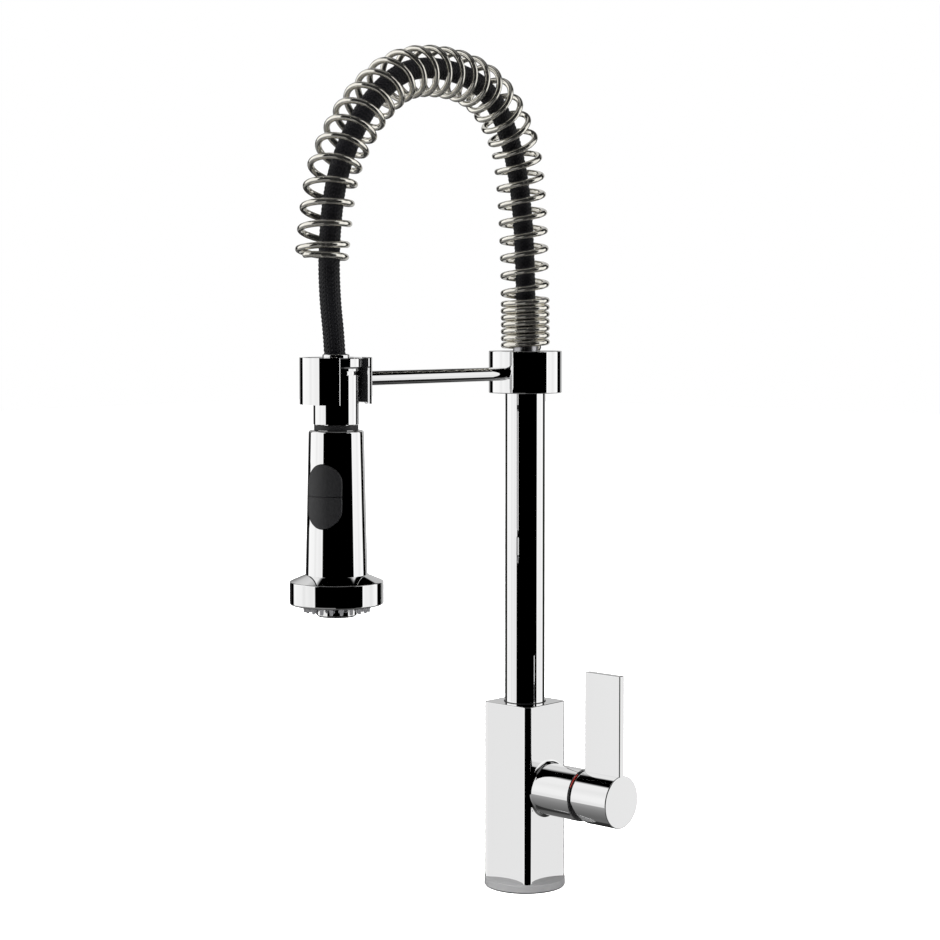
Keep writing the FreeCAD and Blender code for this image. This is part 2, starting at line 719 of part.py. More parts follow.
def spray_neck():
    flange_low = NECK_TOP - NECK_FLANGE_T
    ring_low = NECK_RING_Z - NECK_RING_HALF
    ring_high = NECK_RING_Z + NECK_RING_HALF
    groove_high = flange_low - NECK_GROOVE_DROP
    groove_low = groove_high - NECK_GROOVE_H
    groove_r = NECK_R - NECK_GROOVE_DEPTH
    seat_low = HOSE_END - 1
    outline = [
        (NECK_BORE_R, NECK_BOTTOM), (NECK_THREAD_R, NECK_BOTTOM), (NECK_THREAD_R, NUT_TOP),
        (NECK_SPIGOT_R, NUT_TOP), (NECK_SPIGOT_R, ring_low), (NECK_RING_FLOOR_R, ring_low),
        (NECK_RING_FLOOR_R, ring_high), (NECK_SPIGOT_R, ring_high),
        (NECK_SPIGOT_R, NECK_SHOULDER), (NECK_R - 0.7, NECK_SHOULDER), (NECK_R, NECK_SHOULDER + 0.7),
        (NECK_R, groove_low), (groove_r, groove_low + 0.3), (groove_r, groove_high - 0.3),
        (NECK_R, groove_high), (NECK_R, flange_low - NECK_CONE), (NECK_FLANGE_R, flange_low),
        (NECK_FLANGE_R, NECK_TOP - 0.5), (NECK_FLANGE_R - 0.5, NECK_TOP), (FERRULE_R, NECK_TOP),
        (FERRULE_R, seat_low), (NECK_BORE_R - 1, seat_low), (NECK_BORE_R - 1, VALVE_TOP),
        (NECK_BORE_R, VALVE_TOP),
    ]
    return turned(outline, -REACH)


def hose_outlet_ferrule():
    """Crimped sleeve with a small domed collar on top of the neck."""
    sleeve = head_ring(FERRULE_R, FERRULE_BORE_R, HOSE_END, NECK_TOP)
    dome = head_ring(FERRULE_R, FERRULE_BORE_R, NECK_TOP, FERRULE_TOP)
    dome = round_edges(dome, FERRULE_DOME, circle_at(FERRULE_R, FERRULE_TOP))
    return sleeve.fuse(dome)


def hose_seal():
    return head_ring(FERRULE_BORE_R, HOSE_SEAL_BORE_R, HOSE_END - 1, HOSE_END)


def neck_check_valve():
    middle = (VALVE_LOW + VALVE_TOP) / 2
    cage = head_ring(NECK_BORE_R, VALVE_BORE_R, VALVE_LOW, VALVE_TOP)
    return cage.fuse(head_ring(VALVE_BORE_R, VALVE_STEM_R, middle - 1, middle + 1))


def neck_oring():
    section = (NECK_SPIGOT_R - NECK_RING_FLOOR_R) / 2
    return washer(NECK_RING_FLOOR_R + section, section, vec(0, -REACH, NECK_RING_Z), Z)


def swivel_washer():
    return head_ring(WASHER_R, NECK_SPIGOT_R, HEAD_TOP + 0.2, NECK_SHOULDER)


def swivel_nut():
    return head_ring(NECK_R, NECK_THREAD_R, NECK_BOTTOM, NUT_TOP)


# Spray head

def head_shell():
    shell = head_cone(HEAD_BOTTOM_R, HEAD_TOP_R, HEAD_BOTTOM, HEAD_TOP)
    shell = round_edges(shell, HEAD_EDGE, circle_at(HEAD_TOP_R, HEAD_TOP))
    shell = shell.cut(head_up(NECK_SPIGOT_R + RUNNING_GAP, HEAD_SHELF, HEAD_TOP))
    shell = shell.cut(head_cone(HEAD_BOTTOM_R - 2, HEAD_TOP_R - 2.2, HEAD_BOTTOM, HEAD_SHELF))
    window = stadium(ROCKER_W + 2 * ROCKER_GAP, ROCKER_H + 2 * ROCKER_GAP, HEAD_SPACE)
    return shell.cut(on_head(window)).cut(on_head(pin_shape()))


def pin_shape():
    start = vec(-ROCKER_PIN_HALF, ROCKER_PIN_D, ROCKER_Z)
    return rod(ROCKER_PIN_R, start, vec(ROCKER_PIN_HALF, ROCKER_PIN_D, ROCKER_Z))


def rocker_pin():
    return on_head(pin_shape())


def cone_radius(height):
    share = (height - HEAD_BOTTOM) / (HEAD_TOP - HEAD_BOTTOM)
    return HEAD_BOTTOM_R + (HEAD_TOP_R - HEAD_BOTTOM_R) * share


def proud_cone(proud):
    """The head's cone, grown outward, over the rocker's height and a little more."""
    low = ROCKER_Z - ROCKER_H
    high = ROCKER_Z + ROCKER_H
    return Part.makeCone(cone_radius(low) + proud, cone_radius(high) + proud, high - low, vec(0, 0, low), Z)


def function_rocker():
    """Oval paddle that follows the head's cone, with a crease across its middle."""
    paddle = stadium(ROCKER_W, ROCKER_H, HEAD_SPACE).common(proud_cone(ROCKER_PROUD))
    paddle = paddle.cut(block(vec(-ROCKER_W, -1, ROCKER_Z - ROCKER_H),
                              vec(ROCKER_W, ROCKER_BACK, ROCKER_Z + ROCKER_H)))
    crease = block(vec(-ROCKER_W, 0, ROCKER_Z - CREASE_HALF),
                   vec(ROCKER_W, HEAD_SPACE, ROCKER_Z + CREASE_HALF))
    paddle = paddle.cut(crease.cut(proud_cone(ROCKER_PROUD - CREASE_DEPTH)))
    channel = block(vec(-ROCKER_W, 0, ROCKER_Z - PIN_CHANNEL_HALF_Z),
                    vec(ROCKER_W, ROCKER_BACK + PIN_CHANNEL_DEPTH, ROCKER_Z + PIN_CHANNEL_HALF_Z))
    lug_low = vec(-ROCKER_LUG_HALF, ROCKER_LUG_START, ROCKER_Z - ROCKER_LUG_HALF_Z)
    lug = block(lug_low, vec(ROCKER_LUG_HALF, ROCKER_BACK + PIN_CHANNEL_DEPTH, ROCKER_Z + ROCKER_LUG_HALF_Z))
    arm = block(vec(-ROCKER_ARM_HALF, ROCKER_ARM_REACH, ROCKER_Z - ROCKER_ARM_HALF_Z),
                vec(ROCKER_ARM_HALF, ROCKER_LUG_START, ROCKER_Z + ROCKER_ARM_HALF_Z))
    bore_start = vec(-ROCKER_W / 2, ROCKER_PIN_D, ROCKER_Z)
    bore = rod(ROCKER_PIN_R + RUNNING_GAP, bore_start, vec(ROCKER_W / 2, ROCKER_PIN_D, ROCKER_Z))
    return on_head(paddle.cut(channel).fuse([lug, arm]).cut(bore))


def diverter_body():
    """Fixed valve barrel in the head, with a window for the rocker's arm."""
    flange_bottom = DIVERTER_BOTTOM - DIVERTER_FLANGE_T
    bore_r = SPOOL_R + RUNNING_GAP
    barrel = head_ring(DIVERTER_R, bore_r, DIVERTER_BOTTOM, DIVERTER_TOP)
    barrel = barrel.fuse(head_ring(DIVERTER_FLANGE_R, bore_r, flange_bottom, DIVERTER_BOTTOM))
    for angle in range(30, 360, 60):
        at = math.radians(angle)
        x = DIVERTER_HOLE_RING_R * math.cos(at)
        y = -REACH + DIVERTER_HOLE_RING_R * math.sin(at)
        barrel = barrel.cut(upright(DIVERTER_HOLE_R, flange_bottom - 1, DIVERTER_BOTTOM + 1, x, y))
    window = block(vec(-DIVERTER_WINDOW_HALF, 0, ROCKER_Z - DIVERTER_WINDOW_HALF_Z),
                   vec(DIVERTER_WINDOW_HALF, HEAD_SPACE, ROCKER_Z + DIVERTER_WINDOW_HALF_Z))
    return barrel.cut(on_head(window))


def diverter_spool():
    spool = head_up(SPOOL_R, SPOOL_BOTTOM, SPOOL_TOP)
    groove = head_ring(SPOOL_R + 1, SPOOL_GROOVE_R, ROCKER_Z - SPOOL_GROOVE_HALF,
                       ROCKER_Z + SPOOL_GROOVE_HALF)
    return spool.cut(groove).cut(head_up(SPOOL_BORE_R, SPOOL_BOTTOM, SPOOL_BORE_TOP))


def spray_disc_ring():
    """The wide chrome disc at the foot of the head."""
    rim_r = DISC_R - DISC_RIM
    outline = [
        (DISC_BORE_R, DISC_NECK_TOP), (DISC_NECK_R, DISC_NECK_TOP), (DISC_NECK_R, HEAD_BOTTOM),
        (HEAD_BOTTOM_R, HEAD_BOTTOM), (HEAD_BOTTOM_R, HEAD_BOTTOM - 0.3), (DISC_R, DISC_TOP),
        (DISC_R, DISC_BOTTOM), (rim_r, DISC_BOTTOM), (rim_r, DISC_TOP - DISC_WALL),
        (DISC_BORE_R + 2, DISC_TOP), (DISC_BORE_R, DISC_TOP),
    ]
    ring = turned(outline, -REACH)
    ring = round_edges(ring, 0.8, circle_at(DISC_R, DISC_TOP))
    return round_edges(ring, DISC_EDGE, circle_at(DISC_R, DISC_BOTTOM))


def spray_face_plate():
    plate = head_ring(DISC_R - DISC_RIM, AERATOR_R, FACE_BOTTOM, FACE_BOTTOM + FACE_T)
    for at in nozzle_places():
        plate = plate.cut(upright(NOZZLE_R, FACE_BOTTOM, FACE_BOTTOM + FACE_T, at.x, at.y))
    return plate


def nozzle_places():
    places = []
    for radius, count, offset in NOZZLE_ROWS:
        for step in range(count):
            angle = 2 * math.pi * (step + offset) / count
            places.append(vec(radius * math.cos(angle), -REACH + radius * math.sin(angle), 0))
    return places


def nozzle_mat():
    """Soft mat behind the face plate, with one hollow nozzle through each of its holes."""
    top = FACE_BOTTOM + FACE_T
    mat = head_ring(MAT_R, MAT_BORE_R, top, top + MAT_T)
    nozzles = []
    bores = []
    for at in nozzle_places():
        stem = upright(NOZZLE_R, FACE_BOTTOM, top + MAT_T / 2, at.x, at.y)
        tip = Part.makeCone(NOZZLE_TIP_R, NOZZLE_R, FACE_BOTTOM - NOZZLE_BOTTOM,
                            vec(at.x, at.y, NOZZLE_BOTTOM), Z)
        nozzles += [stem, tip]
        bores.append(upright(NOZZLE_BORE_R, NOZZLE_BOTTOM - 1, top + MAT_T + 1, at.x, at.y))
    return mat.fuse(nozzles).cut(Part.makeCompound(bores)).removeSplitter()


def aerator_housing():
    outline = [
        (AERATOR_BORE_R, AERATOR_TOP), (AERATOR_R, AERATOR_TOP),
        (AERATOR_R, AERATOR_BOTTOM + AERATOR_BEVEL), (AERATOR_R - AERATOR_BEVEL, AERATOR_BOTTOM),
        (AERATOR_BORE_R, AERATOR_BOTTOM),
    ]
    return turned(outline, -REACH)


def aerator_insert():
    insert = head_up(AERATOR_BORE_R, INSERT_BOTTOM, INSERT_TOP)
    for radius, count in INSERT_ROWS:
        for step in range(count):
            angle = 2 * math.pi * step / count
            x = radius * math.cos(angle)
            y = -REACH + radius * math.sin(angle)
            insert = insert.cut(upright(INSERT_HOLE_R, INSERT_BOTTOM - 1, INSERT_TOP + 1, x, y))
    return insert


PARTS = {
    "base_gasket": base_gasket,
    "base_ring": base_ring,
    "valve_body": valve_body,
    "swivel_bushing": swivel_bushing,
    "column_retaining_screw": column_retaining_screw,
    "cartridge_seals": cartridge_seals,
    "cartridge_body": cartridge_body,
    "fixed_ceramic_disc": fixed_ceramic_disc,
    "cartridge_nut": cartridge_nut,
    "indicator_ring": indicator_ring,
    "hot_mark": lambda: mark_on_ring(-1),
    "cold_mark": lambda: mark_on_ring(1),
    "cartridge_carrier": cartridge_carrier,
    "tilt_pin": tilt_pin,
    "disc_coupler": disc_coupler,
    "moving_ceramic_disc": moving_ceramic_disc,
    "lever_stem": lever_stem,
    "lever_handle": lever_handle,
    "lever_set_screw": lever_set_screw,
    "column_spigot": column_spigot,
    "spigot_orings": spigot_orings,
    "column_tube": column_tube,
    "column_collar": column_collar,
    "collar_set_screw": collar_set_screw,
    "hose_inlet_fitting": hose_inlet_fitting,
    "hose_inlet_ferrule": hose_inlet_ferrule,
    "hose": hose,
    "hoop_spring": hoop_spring,
    "dock_arm": dock_arm,
    "dock_holder": dock_holder,
    "dock_liner": dock_liner,
    "spray_neck": spray_neck,
    "hose_outlet_ferrule": hose_outlet_ferrule,
    "hose_seal": hose_seal,
    "neck_check_valve": neck_check_valve,
    "neck_oring": neck_oring,
    "swivel_washer": swivel_washer,
    "swivel_nut": swivel_nut,
    "head_shell": head_shell,
    "rocker_pin": rocker_pin,
    "function_rocker": function_rocker,
    "diverter_body": diverter_body,
    "diverter_spool": diverter_spool,
    "spray_disc_ring": spray_disc_ring,
    "spray_face_plate": spray_face_plate,
    "nozzle_mat": nozzle_mat,
    "aerator_housing": aerator_housing,
    "aerator_insert": aerator_insert,
}

os.makedirs("parts", exist_ok=True)
for name, make in PARTS.items():
    shape = make()
    print(name, shape.isValid(), len(shape.Solids), round(shape.Volume))
    shape.exportStep("parts/" + name + ".step")
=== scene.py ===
import json
import math

import bpy
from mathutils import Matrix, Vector


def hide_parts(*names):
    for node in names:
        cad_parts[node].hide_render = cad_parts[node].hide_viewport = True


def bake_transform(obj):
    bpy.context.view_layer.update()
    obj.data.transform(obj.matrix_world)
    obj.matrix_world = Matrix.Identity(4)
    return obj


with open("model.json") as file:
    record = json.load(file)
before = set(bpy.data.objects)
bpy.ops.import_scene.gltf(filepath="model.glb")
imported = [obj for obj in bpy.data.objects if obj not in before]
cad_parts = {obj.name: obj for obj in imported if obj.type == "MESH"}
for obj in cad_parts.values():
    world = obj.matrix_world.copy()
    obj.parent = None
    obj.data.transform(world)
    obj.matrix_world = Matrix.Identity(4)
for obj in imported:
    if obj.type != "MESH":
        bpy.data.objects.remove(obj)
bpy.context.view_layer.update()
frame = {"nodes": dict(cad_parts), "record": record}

MM = 0.001

# The hose's and the spring's routes: distance from the column and height, in millimetres
HOSE_ROUTE = [
    (0, 352), (-1.5, 398), (5, 476), (26, 522.5), (57, 540.5), (110, 542), (144.5, 519.5),
    (166.5, 489.5), (178, 461), (182.5, 424), (181.5, 394), (178, 371), (176.5, 346.3),
]
SPRING_ROUTE = [
    (0, 361), (0, 478), (25, 521.5), (58, 539.5), (113, 539.5), (146, 519),
    (170, 489.5), (183, 463), (188.3, 419.5),
]
HOSE_R = 6.65 * MM
COIL_R = 14.45 * MM
WIRE_R = 2.0 * MM
CLOSED_PITCH = 4.6 * MM
CLOSED_TURNS = 7
OPEN_PITCH = 11.55 * MM
LEG_STRETCH = 0.035        # how much of the open coil's length goes to widening its free leg
END_TURNS = 1
START_TURN = 0.5           # where round the collar the wire begins, in turns
COIL_STEPS = 40            # points in one turn
WIRE_SIDES = 14
LINE_STEPS = 40            # points between two of a route's points

# Camera: degrees and metres, turned to see the spout and the lever side
VIEW_TURN = 42.19
VIEW_DISTANCE = 1.444
VIEW_OFFSET = 0.0370
VIEW_HEIGHT = 0.3874
VIEW_TILT = 2.966
VIEW_SHIFT = -0.05
LENS = 82.62


# Materials: the depth of their bumps, in metres
METAL_RELIEF = 0.0002
PLASTIC_RELIEF = 0.0001


def new_material(name):
    material = bpy.data.materials.new(name)
    material.use_nodes = True
    shader = material.node_tree.nodes["Principled BSDF"]
    return material, material.node_tree, shader


def add_node(tree, kind, **values):
    node = tree.nodes.new(kind)
    for key, value in values.items():
        if key in node.inputs:
            node.inputs[key].default_value = value
        else:
            setattr(node, key, value)
    return node


def ramp(tree, factor, stops):
    """A colour ramp of (place, grey) stops, fed by a socket."""
    node = tree.nodes.new("ShaderNodeValToRGB")
    elements = node.color_ramp.elements
    while len(elements) > 1:
        elements.remove(elements[0])
    elements[0].position = stops[0][0]
    elements[0].color = (stops[0][1],) * 3 + (1,)
    for place, grey in stops[1:]:
        element = elements.new(place)
        element.color = (grey,) * 3 + (1,)
    tree.links.new(factor, node.inputs["Fac"])
    return node.outputs["Color"]


def metal(name, colour, rough, rough_swing, grain_scale, bump, metallic=1.0):
    """Plated metal: faint polishing marks in its roughness and its surface."""
    material, tree, shader = new_material(name)
    shader.inputs["Metallic"].default_value = metallic
    shader.inputs["Base Color"].default_value = (*colour, 1)
    place = add_node(tree, "ShaderNodeTexCoord")
    noise = add_node(tree, "ShaderNodeTexNoise", Scale=grain_scale, Detail=4.0)
    tree.links.new(place.outputs["Object"], noise.inputs["Vector"])
    spread = add_node(tree, "ShaderNodeMapRange")
    spread.inputs["To Min"].default_value = max(0.0, rough - rough_swing)
    spread.inputs["To Max"].default_value = rough + rough_swing
    tree.links.new(noise.outputs["Fac"], spread.inputs["Value"])
    tree.links.new(spread.outputs["Result"], shader.inputs["Roughness"])
    if bump:
        height = add_node(tree, "ShaderNodeBump", Strength=bump, Distance=METAL_RELIEF)
        tree.links.new(noise.outputs["Fac"], height.inputs["Height"])
        tree.links.new(height.outputs["Normal"], shader.inputs["Normal"])
    return material


def plastic(name, colour, rough, grain, scale, bump, specular=0.5):
    """Moulded plastic or rubber with a fine grain."""
    material, tree, shader = new_material(name)
    shader.inputs["Roughness"].default_value = rough
    shader.inputs["Specular IOR Level"].default_value = specular
    place = add_node(tree, "ShaderNodeTexCoord")
    noise = add_node(tree, "ShaderNodeTexNoise", Scale=scale, Detail=3.0)
    tree.links.new(place.outputs["Object"], noise.inputs["Vector"])
    tone = add_node(tree, "ShaderNodeMix", data_type="RGBA")
    tone.inputs["A"].default_value = (*[c * (1 - grain) for c in colour], 1)
    tone.inputs["B"].default_value = (*[min(1, c * (1 + grain)) for c in colour], 1)
    tree.links.new(noise.outputs["Fac"], tone.inputs["Factor"])
    tree.links.new(tone.outputs["Result"], shader.inputs["Base Color"])
    height = add_node(tree, "ShaderNodeBump", Strength=bump, Distance=PLASTIC_RELIEF)
    tree.links.new(noise.outputs["Fac"], height.inputs["Height"])
    tree.links.new(height.outputs["Normal"], shader.inputs["Normal"])
    return material


CHROME = metal("chrome", (0.93, 0.93, 0.93), 0.018, 0.008, 220.0, 0.0)
SATIN = metal("satin_metal", (0.19, 0.19, 0.192), 0.5, 0.05, 900.0, 0.02, 0.25)
SPRING_METAL = metal("spring_wire", (0.90, 0.875, 0.80), 0.12, 0.02, 900.0, 0.0, 0.99)
BRASS = metal("brass", (0.72, 0.52, 0.22), 0.28, 0.08, 400.0, 0.1)
STEEL = metal("steel", (0.56, 0.56, 0.58), 0.3, 0.08, 500.0, 0.1)
BLACK = plastic("black_plastic", (0.005, 0.005, 0.0055), 0.48, 0.2, 2600.0, 0.2)
INNER = plastic("inner_plastic", (0.72, 0.71, 0.68), 0.45, 0.04, 900.0, 0.1)
CERAMIC = plastic("ceramic", (0.86, 0.84, 0.80), 0.12, 0.02, 700.0, 0.02)
RUBBER = plastic("rubber", (0.006, 0.006, 0.006), 0.65, 0.2, 1800.0, 0.3)
NOZZLE = plastic("nozzle_rubber", (0.10, 0.10, 0.105), 0.5, 0.15, 1500.0, 0.2)
FACE = plastic("face_plastic", (0.045, 0.045, 0.047), 0.4, 0.15, 1800.0, 0.2)
BRAID = plastic("hose_braid", (0.003, 0.003, 0.0035), 0.28, 0.2, 3000.0, 0.03, specular=0.22)
HOT = plastic("hot_red", (0.11, 0.008, 0.006), 0.3, 0.1, 900.0, 0.05)
COLD = plastic("cold_blue", (0.012, 0.06, 0.36), 0.3, 0.1, 900.0, 0.05)

SLOT_MATERIALS = {
    "chrome": CHROME, "plated_plastic": CHROME, "satin_metal": SATIN, "brass": BRASS, "steel": STEEL,
    "spring_steel": SPRING_METAL, "black_plastic": BLACK, "inner_plastic": INNER, "ceramic": CERAMIC,
    "rubber": RUBBER, "nozzle_rubber": NOZZLE, "face_plastic": FACE, "hose_braid": BRAID,
    "hot_red": HOT, "cold_blue": COLD,
}


def dress_cad_nodes():
    """Every carried node gets the material of its slot."""
    for part in frame["record"]["subparts"]:
        node = frame["nodes"][part["node"]]
        node.data.materials.clear()
        node.data.materials.append(SLOT_MATERIALS[part["material_slot"]])


# Mesh helpers

def mesh_object(name, points, faces, material, smooth=True):
    mesh = bpy.data.meshes.new(name)
    mesh.from_pydata([tuple(p) for p in points], [], faces)
    mesh.validate()
    if smooth:
        mesh.polygons.foreach_set("use_smooth", [True] * len(mesh.polygons))
    mesh.materials.append(material)
    piece = bpy.data.objects.new(name, mesh)
    bpy.context.scene.collection.objects.link(piece)
    return piece


def smooth_line(route, name):
    """The route as a smooth line: points down the middle of a NURBS curve, in metres."""
    curve = bpy.data.curves.new(name, "CURVE")
    curve.dimensions = "3D"
    spline = curve.splines.new("NURBS")
    spline.points.add(len(route) - 1)
    for point, (reach, height) in zip(spline.points, route):
        point.co = (0, -reach * MM, height * MM, 1)
    spline.order_u = 3
    spline.use_endpoint_u = True
    spline.resolution_u = LINE_STEPS
    holder = bpy.data.objects.new(name, curve)
    mesh = bpy.data.meshes.new_from_object(holder)
    line = [v.co.copy() for v in mesh.vertices]
    bpy.data.objects.remove(holder)
    bpy.data.curves.remove(curve)
    bpy.data.meshes.remove(mesh)
    return line


class Path:
    """A line in the hoop's plane that gives its point and its in-plane normal at a length."""

    def __init__(self, line):
        self.line = line
        self.along = [0.0]
        for a, b in zip(line, line[1:]):
            self.along.append(self.along[-1] + (b - a).length)
        self.length = self.along[-1]
        self.at = 0

    def frame(self, s):
        s = min(max(s, 0.0), self.length)
        while self.at > 0 and self.along[self.at] > s:
            self.at -= 1
        while self.at < len(self.line) - 2 and self.along[self.at + 1] < s:
            self.at += 1
        i = self.at
        share = (s - self.along[i]) / (self.along[i + 1] - self.along[i])
        point = self.line[i].lerp(self.line[i + 1], share)
        ahead = self.tangent(i).lerp(self.tangent(i + 1), share).normalized()
        normal = Vector((1, 0, 0)).cross(ahead)
        return point, normal

    def tangent(self, i):
        a = self.line[max(i - 1, 0)]
        b = self.line[min(i + 1, len(self.line) - 1)]
        return (b - a).normalized()


def tube_along(points, normals, radius, sides, name, material):
    """A round wire through points, each with a vector that its section starts from."""
    verts = []
    faces = []
    count = len(points)
    for i, (point, start) in enumerate(zip(points, normals)):
        ahead = (points[min(i + 1, count - 1)] - points[max(i - 1, 0)]).normalized()
        side = ahead.cross(start).normalized()
        up = side.cross(ahead)
        for k in range(sides):
            turn = 2 * math.pi * k / sides
            verts.append(point + radius * (math.cos(turn) * up + math.sin(turn) * side))
    for i in range(count - 1):
        for k in range(sides):
            a = i * sides + k
            b = i * sides + (k + 1) % sides
            faces.append((a, b, b + sides, a + sides))
    faces.append(tuple(range(sides - 1, -1, -1)))
    last = (count - 1) * sides
    faces.append(tuple(range(last, last + sides)))
    return mesh_object(name, verts, faces, material)


# Hoop spring and hose

def build_spring():
    """The coil: wound close above the collar, open round the hoop, ending in a closed turn."""
    path = Path(smooth_line(SPRING_ROUTE, "spring_line"))
    closed = CLOSED_TURNS * CLOSED_PITCH
    open_length = path.length - closed - END_TURNS * CLOSED_PITCH - WIRE_R
    open_turns = round(open_length * (1 - LEG_STRETCH) / OPEN_PITCH)
    turns_total = CLOSED_TURNS + open_turns + END_TURNS
    points = []
    normals = []
    for k in range(turns_total * COIL_STEPS + 1):
        turn = k / COIL_STEPS
        s = WIRE_R + coil_place(turn, open_turns, open_length)
        centre, normal = path.frame(s)
        angle = 2 * math.pi * (turn + START_TURN)
        out = math.cos(angle) * normal + math.sin(angle) * Vector((1, 0, 0))
        points.append(centre + COIL_R * out)
        normals.append(out)
    coil = tube_along(points, normals, WIRE_R, WIRE_SIDES, "hoop_coil", SPRING_METAL)
    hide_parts("hoop_spring")
    return coil


def coil_place(turn, open_turns, open_length):
    """How far along the hoop the wire is after so many turns; its free leg is stretched a little."""
    if turn <= CLOSED_TURNS:
        return turn * CLOSED_PITCH
    closed = CLOSED_TURNS * CLOSED_PITCH
    if turn <= CLOSED_TURNS + open_turns:
        share = (turn - CLOSED_TURNS) / open_turns
        return closed + open_length * (share * (1 - LEG_STRETCH) + LEG_STRETCH * share ** 3)
    return closed + open_length + (turn - CLOSED_TURNS - open_turns) * CLOSED_PITCH


# The hose's braid: columns of slanting ribs that meet in a row of chevrons
COLUMNS = 26
COLUMN_STEPS = 5
RIB_PITCH = 2.57 * MM
RIB_LEAN = 0.62            # how far a rib climbs across its column, in pitches
RIB_HEIGHT = 0.6 * MM
RIB_LEAST = 0.6            # a rib's height at its ends and what its middle adds, as shares
RIB_MIDDLE = 0.4
RING_STEP = 0.43 * MM


def build_hose():
    """The braided hose as one closed tube whose wall carries the braid's ribs."""
    path = Path(smooth_line(HOSE_ROUTE, "hose_line"))
    rings = round(path.length / RING_STEP)
    sides = COLUMNS * COLUMN_STEPS
    verts = []
    faces = []
    for ring in range(rings + 1):
        along = path.length * ring / rings
        centre, normal = path.frame(along)
        for side in range(sides):
            angle = 2 * math.pi * side / sides
            out = math.cos(angle) * normal + math.sin(angle) * Vector((1, 0, 0))
            verts.append(centre + (HOSE_R - RIB_HEIGHT + rib_height(side, along)) * out)
    for ring in range(rings):
        for side in range(sides):
            a = ring * sides + side
            b = ring * sides + (side + 1) % sides
            faces.append((a, b, b + sides, a + sides))
    faces.append(tuple(range(sides - 1, -1, -1)))
    faces.append(tuple(range(rings * sides, (rings + 1) * sides)))
    return mesh_object("braided_hose", verts, faces, BRAID)


def rib_height(side, along):
    """The braid's height at one of the wall's points: ribs climb one way in every other column."""
    column, step = divmod(side, COLUMN_STEPS)
    across = step / COLUMN_STEPS
    lean = across if column % 2 else 1 - across
    rib = abs(math.sin(math.pi * (along / RIB_PITCH + RIB_LEAN * lean)))
    return RIB_HEIGHT * rib * (RIB_LEAST + RIB_MIDDLE * math.sin(math.pi * across))


def bend_with_head(piece):
    """Bakes the piece's placement into its mesh points."""
    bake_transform(piece)


# Camera, light and floor

def place_camera():
    turn = math.radians(VIEW_TURN)
    right = Vector((math.cos(turn), math.sin(turn), 0))
    back = Vector((math.sin(turn), -math.cos(turn), 0))
    data = bpy.data.cameras.new("camera")
    data.lens = LENS
    data.shift_y = VIEW_SHIFT
    camera = bpy.data.objects.new("camera", data)
    camera.location = -right * VIEW_OFFSET + back * VIEW_DISTANCE + Vector((0, 0, VIEW_HEIGHT))
    camera.rotation_euler = (math.radians(90 - VIEW_TILT), 0, turn)
    bpy.context.scene.collection.objects.link(camera)
    bpy.context.scene.camera = camera


# Degrees about the viewer's side of the faucet, and how bright the studio's walls are there
AROUND = [
    (-180, 0.45), (-154, 0.35), (-149, 0.0), (-128, 0.0), (-124, 1.04), (-112, 0.97), (-92, 0.95),
    (-86, 0.86), (-82, 0.86), (-76, 0.93), (-64, 0.87), (-56, 0.87), (-51.5, 1.0), (-50.5, 0.0),
    (69, 0.0), (70, 1.05), (76, 0.92), (88, 0.93), (93, 0.86), (98, 0.86), (106, 0.95), (114, 1.0),
    (119, 1.05), (122, 0.0), (143, 0.0), (149, 0.5), (180, 0.5),
]
# Each sector of the studio: where it is, where its white wall is in height, and what is above and below
SECTORS = {
    "left": {
        "mask": [(-180, 1.0), (0, 1.0), (2, 0.0), (180, 0.0)],
        "wall": [(-90, 0.0), (-17, 0.0), (-15.5, 1.0), (46, 1.0), (49, 0.0), (90, 0.0)],
        "rest": [(-90, 0.10), (-50, 0.14), (-30, 0.24), (-16, 0.36), (20, 0.0), (60, 0.0), (66, 0.12),
                 (90, 0.12)],
    },
    "right": {
        "mask": [(-180, 0.0), (0, 0.0), (2, 1.0), (180, 1.0)],
        "wall": [(-90, 0.0), (-30, 0.0), (-28, 1.0), (27, 1.0), (29, 0.0), (90, 0.0)],
        "rest": [(-90, 0.10), (-50, 0.03), (-30, 0.0), (60, 0.0), (66, 0.12), (90, 0.12)],
    },
    "right_near": {
        "mask": [(-180, 0.0), (54, 0.0), (60, 0.75), (82, 1.0), (98, 1.0), (102, 0.0), (180, 0.0)],
        "wall": [(-90, 0.0), (-30, 0.0), (-28, 1.0), (27, 1.0), (29, 0.0), (90, 0.0)],
        "rest": [(-90, 0.12), (-40, 0.13), (20, 0.7), (46, 0.8), (50, 0.0), (62, 0.0), (66, 0.12),
                 (90, 0.12)],
    },
    "left_behind": {
        "mask": [(-180, 1.0), (-152, 1.0), (-144, 0.0), (180, 0.0)],
        "wall": [(-90, 0.0), (-6, 0.0), (-5, 1.0), (3, 1.0), (5, 0.0), (90, 0.0)],
        "rest": [(-90, 0.05), (-30, 0.02), (0, 0.1), (12, 0.3), (24, 0.6), (38, 0.7), (44, 0.5), (48, 0.0),
                 (62, 0.0), (66, 0.75), (90, 0.75)],
    },
}
# How much brighter the walls are at eye level
WALL_GAIN = [(-90, 0.97), (-9, 0.97), (-3, 1.05), (10, 1.08), (37, 0.95), (90, 0.95)]
# The even grey that lights rough surfaces instead of the walls
AMBIENT = 0.3


